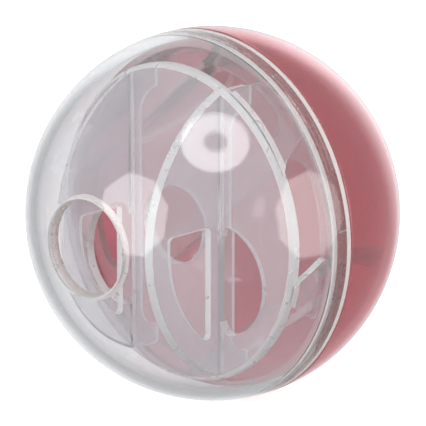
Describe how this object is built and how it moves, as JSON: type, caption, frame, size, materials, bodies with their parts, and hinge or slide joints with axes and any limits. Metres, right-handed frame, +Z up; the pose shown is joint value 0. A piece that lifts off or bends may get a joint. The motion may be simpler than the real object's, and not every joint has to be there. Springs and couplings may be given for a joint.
{
  "type": "treat dispensing ball",
  "caption": "Hollow pet treat ball of a clear and a red half shell with a twist lock, clear maze inserts inside and a round treat hole.",
  "frame": {"origin": "centre of the ball, in the plane where the two halves meet", "axes": "-Y out through the treat hole along the ball's axis, +Y to the pole of the red half, +Z up (straight upper edges of the front maze windows lie level), +X to the right seen from the treat hole"},
  "size_m": [0.075, 0.0736, 0.075],
  "materials": {
    "clear_shell_plastic": "clear moulded plastic, polished",
    "red_shell_plastic": "red tinted see-through moulded plastic, polished",
    "maze_plastic": "clear moulded plastic with a slight haze"
  },
  "bodies": {
    "rear_half": {"red_shell": "red_shell_plastic", "rear_maze": "maze_plastic"},
    "front_insert": {"front_maze": "maze_plastic"},
    "front_half": {"clear_shell": "clear_shell_plastic"}
  },
  "joints": [
    {"name": "twist_lock", "type": "hinge", "parent": "rear_half", "child": "front_insert", "pos_m": [0, 0, 0], "axis": [0, -1, 0], "range_deg": [0, 35]},
    {"name": "lift_off", "type": "slide", "parent": "front_insert", "child": "front_half", "axis": [0, -1, 0], "range_m": [0, 0.045]}
  ]
}
